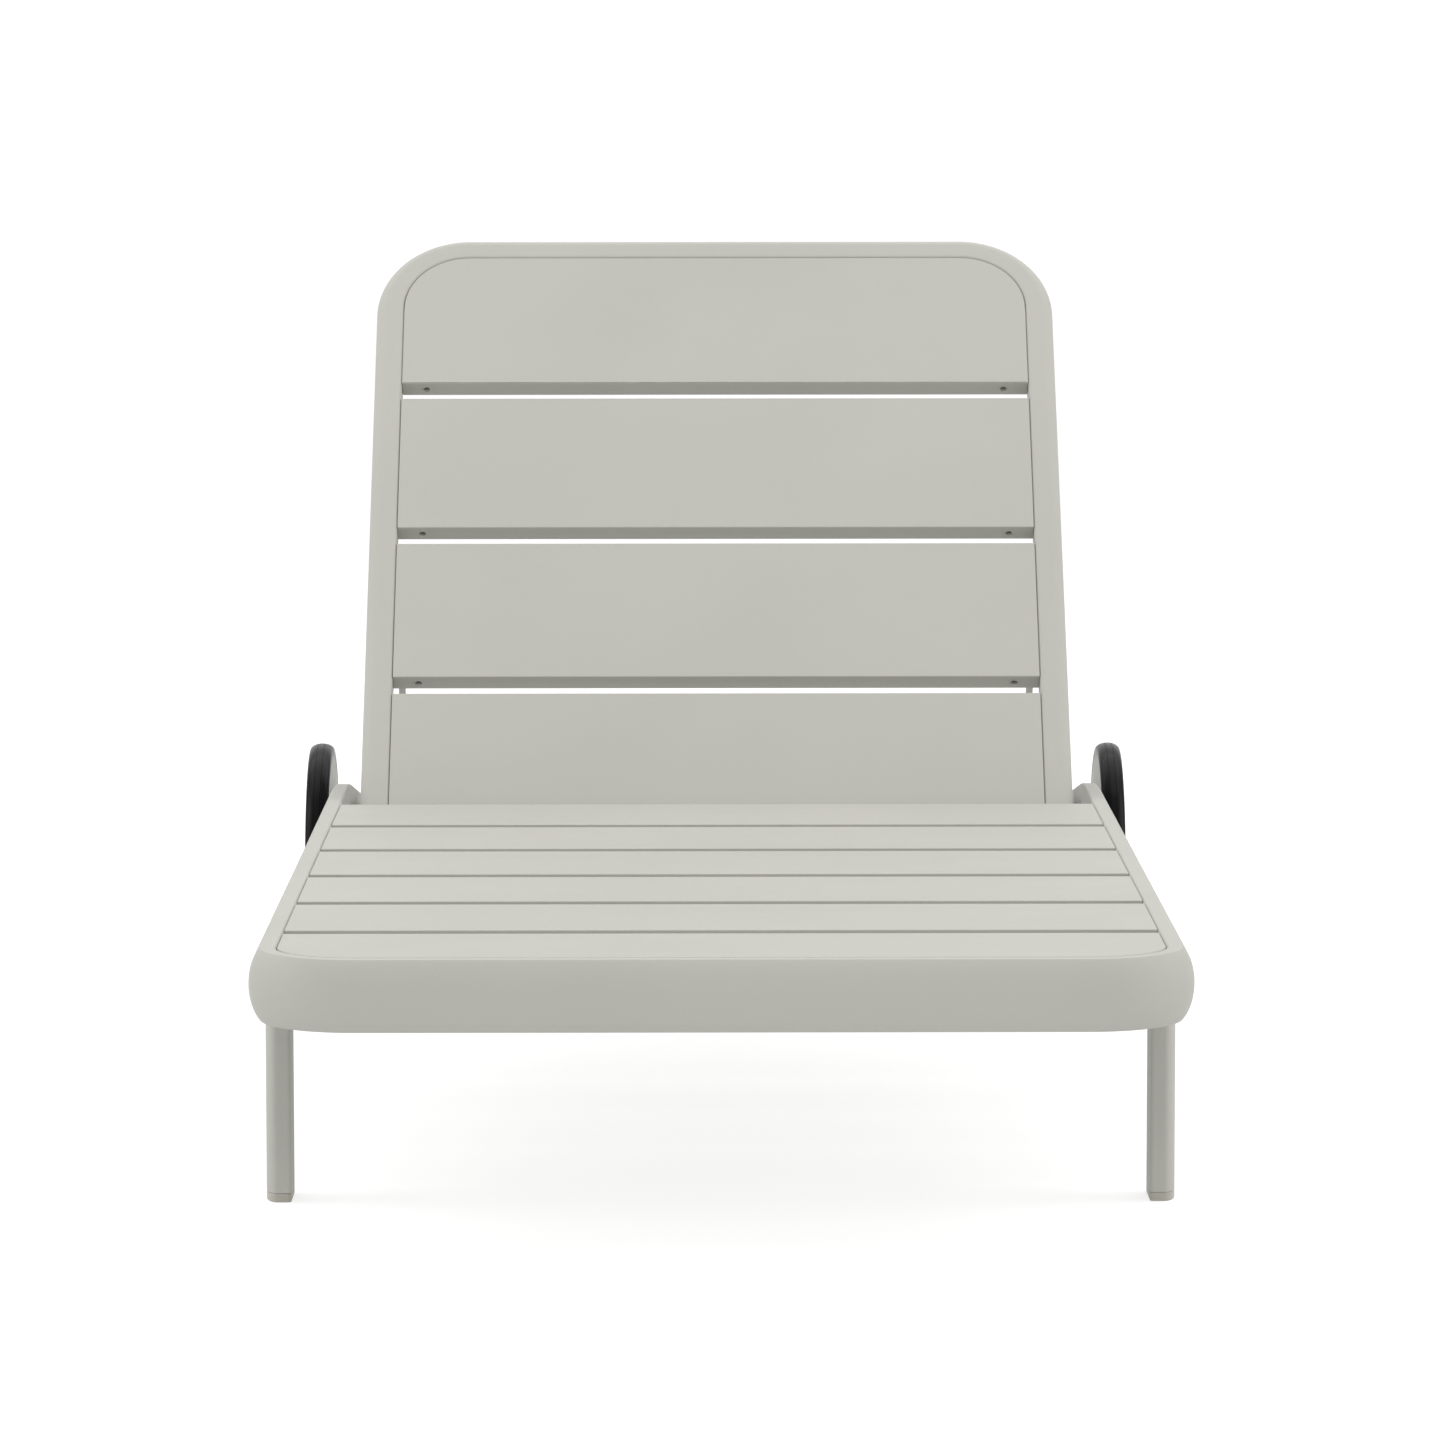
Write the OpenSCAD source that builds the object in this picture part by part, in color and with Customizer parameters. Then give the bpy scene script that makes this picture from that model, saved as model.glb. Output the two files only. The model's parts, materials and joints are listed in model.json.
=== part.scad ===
// Reclining garden sun lounger with a slatted seat, a slatted back and two rear wheels.
// X runs across the lounger, +Y towards the head end, +Z up. The floor is z = 0.

/* [Seat] */
// Height of the seat surface above the floor
seat_h = 245; // [235:1:260]
// Clear width between the side rails
seat_w = 735; // [700:5:760]
// Length from the front bar's inner face to the rear edge of the last seat slat
seat_l = 1084; // [1060:1:1100]

/* [Frame tube] */
// Width of the flat top of the frame tube
tube_flat = 14; // [13:0.5:16]
// How far the tube's outer side bulges beyond its flat top
tube_bulge = 9.5; // [8:0.5:11]
// Half-width of the ellipse that the outer side is an arc of. A smaller one is rounder.
tube_round = 21; // [18:1:26]
// Height of the main frame tube
rail_h = 60; // [56:1:60]
// Wall thickness of the frame tubes
tube_wall = 2; // [1.5:0.5:2.5]
// Radius along the tube's inner long edges
edge_r = 3; // [1:0.5:3]
// Inner radius of the frame corners, seen from above
bend_in = 67; // [55:1:80]
// Where the side rails start to slope down, behind the last seat slat
slope_start = 190; // [185:5:200]
// Downward slope of the rails' rear ends, in degrees
slope = 9; // [8.5:0.1:9]
// Radius of the bend into the slope, measured on the rail's top
slope_r = 500; // [450:50:550]
// Where the side rails end, behind the last seat slat
rail_back = 575; // [560:5:590]

/* [Slats] */
// Width of a slat
slat_w = 167.5; // [160:0.5:170]
// Gap between two slats
slat_gap = 20; // [15:1:22]
// Thickness of a slat
slat_t = 20; // [18:1:22]
// Wall thickness of a slat
slat_wall = 1.8; // [1.5:0.1:2]
// Radius of the open eyelets in a slat's side face
eyelet_r = 3.5; // [3:0.1:4]
// Distance of the eyelet from the slat's end
eyelet_in = 25; // [20:1:30]

/* [Back] */
// Angle of the back above horizontal as drawn, in degrees
back_angle = 48; // [0:1:65]
// Steepest angle of the back, in degrees
back_max = 65; // [60:1:65]
// Angle between two notches of the back, in degrees
notch_step = 17; // [15:1:20]
// Number of notches, from the steepest one down
notches = 4; // [3:1:4]
// Gap between the back's side tubes and the side rails
back_gap = 17.5; // [16:0.5:20]
// Length from the hinge to the top bar's inner face
back_l = 702.5; // [690:0.5:710]
// Height of the back's frame tube
back_h = 30; // [28:1:32]
// Width of the flat top of the back's frame tube
back_flat = 16.5; // [15:0.5:18]
// How far the back tube's outer side bulges beyond its flat top
back_bulge = 12; // [10:0.5:13]

/* [Back stay] */
// Distance along the back from the hinge to the stay's pivot
stay_s = 240; // [235:1:245]
// Depth of the stay's pivot below the back tube's middle
stay_n = 20; // [19:1:22]
// Width of the stay's arms
arm_w = 18; // [16:1:18]
// Thickness of the stay's arms
arm_t = 6; // [5:0.5:6]
// Radius of the stay's foot rod
rod_r = 5; // [4:0.5:5]
// Downward slope of the guide slots, in degrees
guide_slope = 7; // [7:0.5:8]

/* [Front legs] */
// Distance from the front bar's crease to the front of a leg
leg_back = 255; // [200:5:320]
// Length of a leg's section along the lounger
leg_l = 50; // [40:1:55]
// Flat part of a leg's width
leg_flat = 12; // [10:0.5:13]
// Bulge of a leg's outer side
leg_bulge = 10.5; // [8:0.5:11]
// Visible height of the plastic foot
foot_h = 8; // [6:1:12]

/* [Wheels] */
// Outer diameter of a wheel
wheel_d = 250; // [244:1:252]
// Width of a wheel
wheel_w = 24; // [22:1:26]
// Distance of the axle behind the last seat slat
axle_back = 510; // [505:1:515]
// Depth of the tyre from tread to disc
tyre_t = 13; // [10:1:15]
// Radius of the axle
axle_r = 6; // [5:0.5:6]
// Gap between the rails and the wheels
wheel_gap = 11; // [9:0.5:12]

/* [Hidden] */
$fn = 96;

// Colours
paint = [0.78, 0.78, 0.74];
dark_rubber = [0.10, 0.10, 0.10];
taupe = [0.55, 0.53, 0.48];
nylon = [0.20, 0.20, 0.20];
steel = [0.65, 0.66, 0.67];

// Clearances
gap = 0.3;            // between pieces that only stand next to each other
run = 0.05;           // radial clearance of a pin in its bore
through = 1;          // how far a cut runs past the piece it cuts

// Main frame
bulge_steps = 20;     // flats around the bulge of a tube
edge_step = 30;       // degrees between points on a tube's long edges
tube_w = tube_flat + tube_bulge;
back_w = back_flat + back_bulge;
rail_in = seat_w / 2;
rail_out = rail_in + tube_w;
wheel_r = wheel_d / 2;
front_l = seat_l + tube_w;
rest_l = front_l + axle_back + wheel_r;
y_end = rest_l / 2 - axle_back - wheel_r;
y_front = y_end - seat_l;
y_axle = y_end + axle_back;
y_leg = y_front - tube_flat + leg_back;
rail_bottom = seat_h - rail_h;
tangent = slope_r * tan(slope / 2);
slope_l = (rail_back - slope_start) / cos(slope) - tangent;
seam = 0.02;          // the sloping tube starts this far inside the bend, so that they join
plug_l = 20;          // how far a plastic plug reaches into its tube
cap_t = 3;            // thickness of a rail's end cap
foot_plug = 25;       // how far a foot cap reaches into its leg
leg_cope = 20;        // how far the leg's outer side reaches up the curve of the rail

// Slats
seat_slats = 6;       // one node each
back_slats = 4;       // one node each
pitch = slat_w + slat_gap;
seat_half = rail_in - gap;
tab_l = 35;           // length of the tab inside a slat's end
tab_wall = 3;
flange_w = 1.2;       // how far an eyelet's flange covers the slat's face
flange_t = 0.6;
eyelet_wall = 0.5;

// Cross tube below the last seat slat
cross_w = 40;
cross_h = 25;
cross_in = 30;        // from the slat's rear edge to the tube

// Back
hinge_y = y_end + slat_gap;
hinge_z = seat_h - back_h / 2;
back_out = rail_in - back_gap;
back_in = back_out - back_w;
back_half = back_in - gap;
pin_r = 5;            // shoulder of the pivot pin
stud_r = 4;           // threaded end of the pivot pin
boss_r = 8;           // pivot block's boss through the tube wall
boss_out = 1.5;       // boss stands proud of the tube
block_l = 40;         // length of the pivot block past the hinge
block_wall = 3.5;     // block's material at the closed end of its bore
bore_x = back_in + tube_wall + block_wall;
nut_r = 7;
nut_t = 5;
stud_out = 1;         // how far the stud shows beyond its nut

// Stay: the arms are as long as the distance from hinge to stay pivot, so the foot runs
// on a straight line through the hinge, and the arms turn twice as far as the back.
stay_l = sqrt(stay_s * stay_s + stay_n * stay_n);
stay_turn = atan(stay_n / stay_s);
arm_gap = 1.5;        // between an arm and the back's side tube
arm_in = back_in - arm_gap - arm_t;
lug_t = 4;
lug_x = back_in + edge_r;
stay_pin_r = 4;
collar_r = 6;
head_t = 2.5;
head_r = 6.5;
function stay_angle(a) = a - stay_turn + guide_slope;
function foot_s(a) = 2 * stay_l * cos(stay_angle(a));

// Side plates
plate_t = 6;
plate_half = 14;
slot_play = 0.5;      // on each side of the rod, so that it can slide
slot_half = rod_r + slot_play;
notch_d = 4;          // depth of a notch below the slot's edge
plate_end = 12;       // plate beyond the ends of its slot
ear_r = 17;
ear_half = 16;        // half-width of the ear's straight sides, inside its round end
ear_top = 40;         // from the axle to the ear's front corner, at the slot
plate_in = rail_in - plate_t;
slot_s0 = foot_s(back_max);
slot_s1 = foot_s(0);
ear_y = axle_back - slat_gap;
ear_z = wheel_r - hinge_z;
ear_top_z = -ear_y * tan(guide_slope);

// Stops that carry the back when it lies flat
stop_s = 264;         // from the hinge to the stop's front edge
stop_l = 20;
stop_t = 6;
stop_over = 8;        // from the back tube's inner face to the stop's tip, clear of the lug
stop_in = back_in + stop_over;
pad_t = 2;
stop_top = hinge_z - back_h / 2 - gap - pad_t;

// Wheels and axle
wheel_in = rail_out + wheel_gap;
wheel_out = wheel_in + wheel_w;
disc_r = wheel_r - tyre_t;
rim_t = 4;
web_t = 4;
hub_r = 22;
hub_in = 1;           // hub ends this far inside the wheel's outer face
bush_r = 11;
cover_t = 2.5;
cover_dish = 4;       // how far the cover's middle lies inside its rim
cover_flat_r = 30;    // radius of the cover's flat middle
sleeve_r = 7;
tube_r = 12.5;        // radius of the tube around the axle
cap_r = 14;
cap_l = 5;
crown_steps = 24;
tread_grooves = 2;
groove_w = 0.8;
groove_d = 0.8;
groove_gap = 7;       // between the two tread grooves

// Section of a frame tube: u = 0 is its inner face, v = 0 its flat top. The outer side is
// the part beyond the flat of an ellipse of half-width w: half the ellipse if w is the bulge.
module section(flat, bulge, w, h, r) {
    reach = acos(1 - bulge / w);
    polygon(concat(
        [for (a = [180:-edge_step:90]) [r + r * cos(a), -r + r * sin(a)]],
        [for (i = [0:bulge_steps]) let (a = reach - 2 * reach * i / bulge_steps)
            [flat + bulge - w + w * cos(a), h / 2 * (sin(a) / sin(reach) - 1)]],
        [for (a = [270:-edge_step:180]) [r + r * cos(a), -h + r + r * sin(a)]]));
}

module bore_section(flat, bulge, w, h, wall) translate([wall, -wall])
    section(flat - wall, bulge - wall, w - wall, h - 2 * wall, edge_r / 2);

module tube(flat, bulge, w, h) difference() {
    section(flat, bulge, w, h, edge_r);
    bore_section(flat, bulge, w, h, tube_wall);
}

module rail_tube() tube(tube_flat, tube_bulge, tube_round, rail_h);
module back_tube() tube(back_flat, back_bulge, back_bulge, back_h);

// Sweeps: the children are drawn in the plane across the sweep
module along_y(y0, y1) translate([0, y1, 0]) rotate([90, 0, 0])
    linear_extrude(height = y1 - y0) children();
module along_x(x0, x1) translate([x0, 0, 0]) rotate([90, 0, 90])
    linear_extrude(height = x1 - x0) children();
module rod(r, x0, x1) along_x(x0, x1) circle(r);
module ring(r0, r1, x0, x1) along_x(x0, x1) difference() {
    circle(r1);
    circle(r0);
}
module turned() rotate([0, 90, 0]) rotate_extrude() children();
module left() mirror([1, 0, 0]) children();
module both() {
    children();
    left() children();
}
module in_back() translate([0, hinge_y, hinge_z]) rotate([back_angle, 0, 0]) children();
module at_hinge() translate([0, hinge_y, hinge_z]) children();
module at_axle() translate([0, y_axle, wheel_r]) children();

// Head end of a frame in plan: a straight bar and two bent corners, bar towards +Y
module bent_bar(half, y, z) {
    translate([0, y, z]) along_x(bend_in - half, half - bend_in) children();
    both() translate([half - bend_in, y - bend_in, z])
        rotate_extrude(angle = 90) translate([bend_in, 0]) children();
}

module front_bar() color(paint) mirror([0, 1, 0]) bent_bar(rail_in, -y_front, seat_h) rail_tube();

module rail_slope() translate([0, y_end + slope_start + tangent * cos(slope),
    seat_h - tangent * sin(slope)]) rotate([-slope, 0, 0]) children();

module rail() color(paint) difference() {
    union() {
        along_y(y_front + bend_in, y_end + slope_start - tangent)
            translate([rail_in, seat_h]) rail_tube();
        translate([0, y_end + slope_start - tangent, seat_h - slope_r])
            mirror([1, 0, 0]) rotate([0, -90, 0]) rotate_extrude(angle = slope)
                translate([slope_r, rail_in]) mirror([1, -1]) rail_tube();
        rail_slope() along_y(-seam, slope_l) translate([rail_in, 0]) rail_tube();
    }
    at_hinge() rod(stud_r, rail_in - through, rail_in + tube_wall + through);
}

module rail_cap() color(taupe) rail_slope() translate([rail_in, 0, 0]) {
    along_y(slope_l, slope_l + cap_t)
        section(tube_flat, tube_bulge, tube_round, rail_h, edge_r);
    along_y(slope_l - plug_l, slope_l)
        bore_section(tube_flat, tube_bulge, tube_round, rail_h, tube_wall);
}

// A slat is a hollow bar across the frame. Its far edge may have corners of radius r.
module slat_plan(half, y0, y1, r) {
    translate([-half, y0]) square([2 * half, y1 - y0 - r]);
    if (r > 0) {
        translate([r - half, y1 - r - through]) square([2 * (half - r), r + through]);
        for (x = [r - half, half - r]) translate([x, y1 - r]) circle(r);
    }
}

module slat(half, y0, y1, r, eyelet_y) {
    cavity_h = slat_t - 2 * slat_wall;
    difference() {
        translate([0, 0, -slat_t]) linear_extrude(height = slat_t) slat_plan(half, y0, y1, r);
        translate([-half - through, y0 + slat_wall, slat_wall - slat_t])
            cube([2 * (half + through), y1 - y0 - 2 * slat_wall - r, cavity_h]);
        if (r > 0) translate([r - half, y1 - r - slat_wall - through, slat_wall - slat_t])
            cube([2 * (half - r), r + through, cavity_h]);
        for (x = [eyelet_in - half, half - eyelet_in]) translate([x, eyelet_y, -slat_t / 2])
            rotate([90, 0, 0])
                cylinder(r = eyelet_r + eyelet_wall, h = 2 * (slat_wall + through), center = true);
    }
}

// Tab in a slat's end: a short box tube that joins the slat to the side tube
module tabs(half, y0, y1) both() difference() {
    w = y1 - y0 - 2 * slat_wall;
    h = slat_t - 2 * slat_wall;
    translate([half + gap - tab_l, y0 + slat_wall, slat_wall - slat_t]) cube([tab_l, w, h]);
    translate([half + gap - tab_l - through, y0 + slat_wall + tab_wall,
        slat_wall + tab_wall - slat_t])
        cube([tab_l + 2 * through, w - 2 * tab_wall, h - 2 * tab_wall]);
    for (y = [y0, y1]) translate([half - eyelet_in, y, -slat_t / 2]) rotate([90, 0, 0])
        cylinder(r = eyelet_r + eyelet_wall, h = 2 * (slat_wall + tab_wall + through),
            center = true);
}

// Open eyelet through a slat's side face. way = -1 faces the foot end, 1 the head end.
module eyelets(half, y, way) for (x = [eyelet_in - half, half - eyelet_in])
    translate([x, y, -slat_t / 2]) rotate([way * -90, 0, 0]) difference() {
        union() {
            cylinder(r = eyelet_r + flange_w, h = flange_t);
            translate([0, 0, -slat_wall - tab_wall])
                cylinder(r = eyelet_r + eyelet_wall, h = slat_wall + tab_wall + flange_t);
        }
        translate([0, 0, -slat_wall - tab_wall - through])
            cylinder(r = eyelet_r, h = slat_wall + tab_wall + flange_t + 2 * through);
    }

// Seat slats count from the foot end. The first one fills the frame's rounded corners,
// so it is drawn mirrored, and its eyelets are in its other face.
function seat_y1(k) = y_end - (seat_slats - k) * pitch;
function seat_y0(k) = k == 1 ? y_front + gap : seat_y1(k) - slat_w;

module seat_slat(k) color(paint) translate([0, 0, seat_h])
    if (k == 1) mirror([0, 1, 0])
        slat(seat_half, -seat_y1(k), -seat_y0(k), bend_in - gap, -seat_y1(k));
    else slat(seat_half, seat_y0(k), seat_y1(k), 0, seat_y0(k));

module seat_slat_tabs() color(steel) translate([0, 0, seat_h]) {
    tabs(seat_half, seat_y0(1) + bend_in, seat_y1(1));
    for (k = [2:seat_slats]) tabs(seat_half, seat_y0(k), seat_y1(k));
}

module seat_slat_eyelets() color(steel) translate([0, 0, seat_h]) {
    eyelets(seat_half, seat_y1(1), 1);
    for (k = [2:seat_slats]) eyelets(seat_half, seat_y0(k), -1);
}

module hinge_cross_tube() color(paint)
    translate([0, y_end - cross_in - cross_w, seat_h - slat_t - gap - cross_h])
        along_x(-rail_in, rail_in) difference() {
            square([cross_w, cross_h]);
            translate([tube_wall, tube_wall])
                square([cross_w - 2 * tube_wall, cross_h - 2 * tube_wall]);
        }

// The top of a leg is cut to the curve of the rail that it carries
module front_leg() color(paint) difference() {
    translate([rail_in, y_leg + leg_l, foot_h])
        linear_extrude(height = rail_bottom - foot_h + leg_cope)
            tube(leg_flat, leg_bulge, leg_bulge, leg_l);
    along_y(y_leg - through, y_leg + leg_l + through) translate([rail_in, seat_h])
        section(tube_flat, tube_bulge, tube_round, rail_h, edge_r);
}

module foot_cap() color(taupe) translate([rail_in, y_leg + leg_l, 0]) {
    linear_extrude(height = foot_h)
        section(leg_flat, leg_bulge, leg_bulge, leg_l, edge_r);
    translate([0, 0, foot_h]) linear_extrude(height = foot_plug)
        bore_section(leg_flat, leg_bulge, leg_bulge, leg_l, tube_wall);
}

// Side plate: a straight slot with notches for the stay's foot, and an ear for the axle
module stadium(s0, s1, r) {
    translate([s0, -r]) square([s1 - s0, 2 * r]);
    for (s = [s0, s1]) translate([s, 0]) circle(r);
}

module plate_blank() {
    margin = slot_half + plate_end;
    along_x(plate_in, rail_in) rotate(-guide_slope) translate([slot_s0 - margin, -plate_half])
        square([slot_s1 - slot_s0 + 2 * margin, 2 * plate_half]);
    along_x(plate_in, rail_in) polygon([[ear_y - ear_top, ear_top_z],
        [ear_y + ear_half, ear_top_z], [ear_y + ear_half, ear_z], [ear_y - ear_half, ear_z]]);
    rod_at_ear(ear_r, plate_in, rail_in);
}

module rod_at_ear(r, x0, x1) translate([0, ear_y, ear_z]) rod(r, x0, x1);

module guide_slot() rotate(-guide_slope) {
    stadium(slot_s0, slot_s1, slot_half);
    for (k = [0:notches - 1]) translate([foot_s(back_max - k * notch_step), -notch_d])
        circle(slot_half);
}

module side_plate() color(paint) at_hinge() difference() {
    union() plate_blank();
    along_x(plate_in - through, rail_in + through) guide_slot();
    rod_at_ear(axle_r + run, plate_in - through, rail_in + through);
}

module on_stop(z, t) translate([stop_in, hinge_y + stop_s, z])
    cube([plate_in - stop_in, stop_l, t]);

module back_stop() color(paint) on_stop(stop_top - stop_t, stop_t);

module stop_pads() color(nylon) both() on_stop(stop_top, pad_t);

// Hinge: a pin on each rail runs in a nylon block in the end of the back's tube
module pivot_pin() color(steel) at_hinge() {
    rod(pin_r, bore_x + gap, rail_in);
    rod(stud_r, rail_in, rail_in + tube_wall + nut_t + stud_out);
}

module pivot_spacers() color(nylon) both() at_hinge()
    ring(pin_r, boss_r, back_out + boss_out + gap, rail_in);

module pivot_nuts() color(steel) both() at_hinge()
    ring(stud_r, nut_r, rail_in + tube_wall, rail_in + tube_wall + nut_t);

// Rounds the lower end of the back's side tube about the hinge
module round_end() difference() {
    children();
    difference() {
        translate([back_in - through, -back_h, -back_h])
            cube([back_w + 2 * through, back_h, 2 * back_h]);
        rod(back_h / 2, back_in - 2 * through, back_out + 2 * through);
    }
}

module back_rail() color(paint) in_back() difference() {
    round_end() along_y(-back_h / 2, back_l - bend_in)
        translate([back_in, back_h / 2]) back_tube();
    rod(boss_r, back_in + back_w / 2, back_out + through);
}

module pivot_block() color(nylon) in_back() difference() {
    union() {
        round_end() along_y(-back_h / 2, block_l) translate([back_in, back_h / 2])
            bore_section(back_flat, back_bulge, back_bulge, back_h, tube_wall);
        rod(boss_r, bore_x, back_out + boss_out);
    }
    rod(pin_r + run, bore_x, back_out + boss_out + through);
}

module back_top_bar() color(paint) in_back() bent_bar(back_in, back_l, back_h / 2) back_tube();

// Back slats count from the top bar down
function back_y1(k) = k == 1 ? back_l - gap : back_l - (k - 1) * pitch;
function back_y0(k) = max(0, back_l - (k - 1) * pitch - slat_w);

module back_slat(k) color(paint) in_back() translate([0, 0, back_h / 2])
    slat(back_half, back_y0(k), back_y1(k), k == 1 ? bend_in - gap : 0, back_y0(k));

module back_slat_tabs() color(steel) in_back() translate([0, 0, back_h / 2]) {
    tabs(back_half, back_y0(1), back_y1(1) - bend_in);
    for (k = [2:back_slats]) tabs(back_half, back_y0(k), back_y1(k));
}

module back_slat_eyelets() color(steel) in_back() translate([0, 0, back_h / 2])
    for (k = [1:back_slats]) eyelets(back_half, back_y0(k), -1);

module stay_lug() color(paint) in_back() along_x(lug_x, lug_x + lug_t)
    translate([stay_s, -stay_n]) difference() {
        intersection() {
            translate([-arm_w / 2, -arm_w / 2]) square([arm_w, arm_w / 2 + stay_n - back_h / 2]);
            union() {
                circle(arm_w / 2);
                translate([-arm_w / 2, 0]) square([arm_w, arm_w / 2]);
            }
        }
        circle(stay_pin_r);
    }

module stay_pins() color(steel) in_back() both() translate([0, stay_s, -stay_n]) {
    rod(stay_pin_r, arm_in - gap, lug_x + lug_t);
    rod(collar_r, arm_in + arm_t + gap, back_in);
    rod(head_r, arm_in - gap - head_t, arm_in - gap);
}

// Stay: two arms joined by the foot rod, whose ends run in the side plates' slots
module in_stay() in_back() translate([0, stay_s, -stay_n])
    rotate([-back_angle - stay_angle(back_angle) - guide_slope, 0, 0]) children();

module stay_arm() color(paint) in_stay() along_x(arm_in, arm_in + arm_t) difference() {
    stadium(0, stay_l, arm_w / 2);
    circle(stay_pin_r + run);
    translate([stay_l, 0]) circle(rod_r);
}

module stay_rod() color(steel) in_stay() translate([0, stay_l, 0])
    rod(rod_r, 2 * gap - rail_in, rail_in - 2 * gap);

// Axle and wheels
module axle() color(steel) at_axle() rod(axle_r, -wheel_out - cap_l / 2, wheel_out + cap_l / 2);

module axle_tube() color(paint) at_axle() ring(tube_r - tube_wall, tube_r, -plate_in, plate_in);

module axle_sleeves() color(nylon) both() at_axle()
    ring(axle_r, sleeve_r, rail_in, wheel_in - gap);

module axle_caps() color(nylon) both() at_axle() difference() {
    rod(cap_r, wheel_out + gap, wheel_out + cap_l);
    rod(axle_r, wheel_out, wheel_out + cap_l / 2);
}

// Half section of the tyre, [x, radius]: flat sides, round crown with two fine grooves
module tyre_section() difference() {
    polygon(concat([[wheel_w, disc_r], [0, disc_r]],
        [for (i = [0:crown_steps]) let (a = 180 - 180 * i / crown_steps)
            [wheel_w / 2 + wheel_w / 2 * cos(a),
             wheel_r - tyre_t / 2 + tyre_t / 2 * sin(a)]]));
    for (i = [0:tread_grooves - 1]) translate([wheel_w / 2 + groove_gap * (i - 0.5)
        - groove_w / 2, wheel_r - groove_d]) square([groove_w, groove_d]);
}

// Turns a half section given as [x, radius], standing on the wheel's inner face
module wheel_turned() at_axle() translate([wheel_in, 0, 0]) turned()
    mirror([1, -1]) children();

module tyre() color(dark_rubber) wheel_turned() tyre_section();

module wheel_disc() color(paint) wheel_turned() {
    translate([0, bush_r]) square([wheel_w - hub_in, hub_r - bush_r]);
    translate([0, bush_r]) square([web_t, disc_r - bush_r]);
    translate([0, disc_r - rim_t]) square([wheel_w, rim_t]);
}

module wheel_cover() color(paint) wheel_turned() polygon([
    [wheel_w - cover_t, disc_r - rim_t], [wheel_w, disc_r - rim_t],
    [wheel_w - cover_dish, cover_flat_r], [wheel_w - cover_dish, hub_r],
    [wheel_w - cover_dish - cover_t, hub_r], [wheel_w - cover_dish - cover_t, cover_flat_r]]);

module wheel_bush() color(nylon) at_axle() ring(axle_r + run, bush_r, wheel_in, wheel_out);

front_bar();
left() rail();  // left_rail
rail();  // right_rail
for (k = [1:seat_slats]) seat_slat(k);
seat_slat_tabs();
seat_slat_eyelets();
hinge_cross_tube();
left() front_leg();  // left_front_leg
front_leg();  // right_front_leg
left() foot_cap();  // left_foot_cap
foot_cap();  // right_foot_cap
left() side_plate();  // left_side_plate
side_plate();  // right_side_plate
left() back_stop();  // left_back_stop
back_stop();  // right_back_stop
stop_pads();
left() pivot_pin();  // left_pivot_pin
pivot_pin();  // right_pivot_pin
pivot_spacers();
pivot_nuts();
left() rail_cap();  // left_rail_cap
rail_cap();  // right_rail_cap
axle();
axle_tube();
axle_sleeves();
axle_caps();
back_top_bar();
left() back_rail();  // left_back_rail
back_rail();  // right_back_rail
for (k = [1:back_slats]) back_slat(k);
back_slat_tabs();
back_slat_eyelets();
left() pivot_block();  // left_pivot_block
pivot_block();  // right_pivot_block
left() stay_lug();  // left_stay_lug
stay_lug();  // right_stay_lug
stay_pins();
left() stay_arm();  // left_stay_arm
stay_arm();  // right_stay_arm
stay_rod();
left() tyre();  // left_tyre
tyre();  // right_tyre
left() wheel_disc();  // left_wheel_disc
wheel_disc();  // right_wheel_disc
left() wheel_cover();  // left_wheel_cover
wheel_cover();  // right_wheel_cover
left() wheel_bush();  // left_wheel_bush
wheel_bush();  // right_wheel_bush
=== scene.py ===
"""Looks for the reclining sun lounger: painted D-section tubes, hollow slats with open eyelets,
wheels, plastic feet, welds, a pale floor, soft light and the camera. Units are metres; +X runs
across the lounger, +Y towards the head end, +Z up."""

import json
import math

import bmesh
import bpy
from mathutils import Matrix, Vector
from mathutils.geometry import tessellate_polygon


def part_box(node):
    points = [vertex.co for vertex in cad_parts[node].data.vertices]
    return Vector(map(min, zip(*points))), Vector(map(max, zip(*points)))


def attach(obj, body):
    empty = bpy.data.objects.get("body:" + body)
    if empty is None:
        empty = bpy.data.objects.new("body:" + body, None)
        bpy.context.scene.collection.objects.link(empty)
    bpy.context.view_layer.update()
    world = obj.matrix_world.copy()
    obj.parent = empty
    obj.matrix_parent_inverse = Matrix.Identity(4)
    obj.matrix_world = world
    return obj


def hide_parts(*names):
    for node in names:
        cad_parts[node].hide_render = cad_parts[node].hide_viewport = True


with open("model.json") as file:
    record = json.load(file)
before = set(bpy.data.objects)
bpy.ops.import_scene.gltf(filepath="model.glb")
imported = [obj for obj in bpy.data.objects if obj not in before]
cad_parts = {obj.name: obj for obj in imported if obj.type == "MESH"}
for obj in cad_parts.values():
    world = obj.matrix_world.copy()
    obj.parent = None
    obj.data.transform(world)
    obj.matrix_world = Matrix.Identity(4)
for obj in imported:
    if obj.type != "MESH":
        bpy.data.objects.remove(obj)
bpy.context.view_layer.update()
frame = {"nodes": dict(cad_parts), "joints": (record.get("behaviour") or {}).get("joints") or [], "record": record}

MAIN = "main_frame"
BODY_OF = {n: b for b, names in frame["record"]["behaviour"]["bodies"].items() for n in names}
SLOT_OF = {s["node"]: s["material_slot"] for s in frame["record"]["subparts"]}

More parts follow.
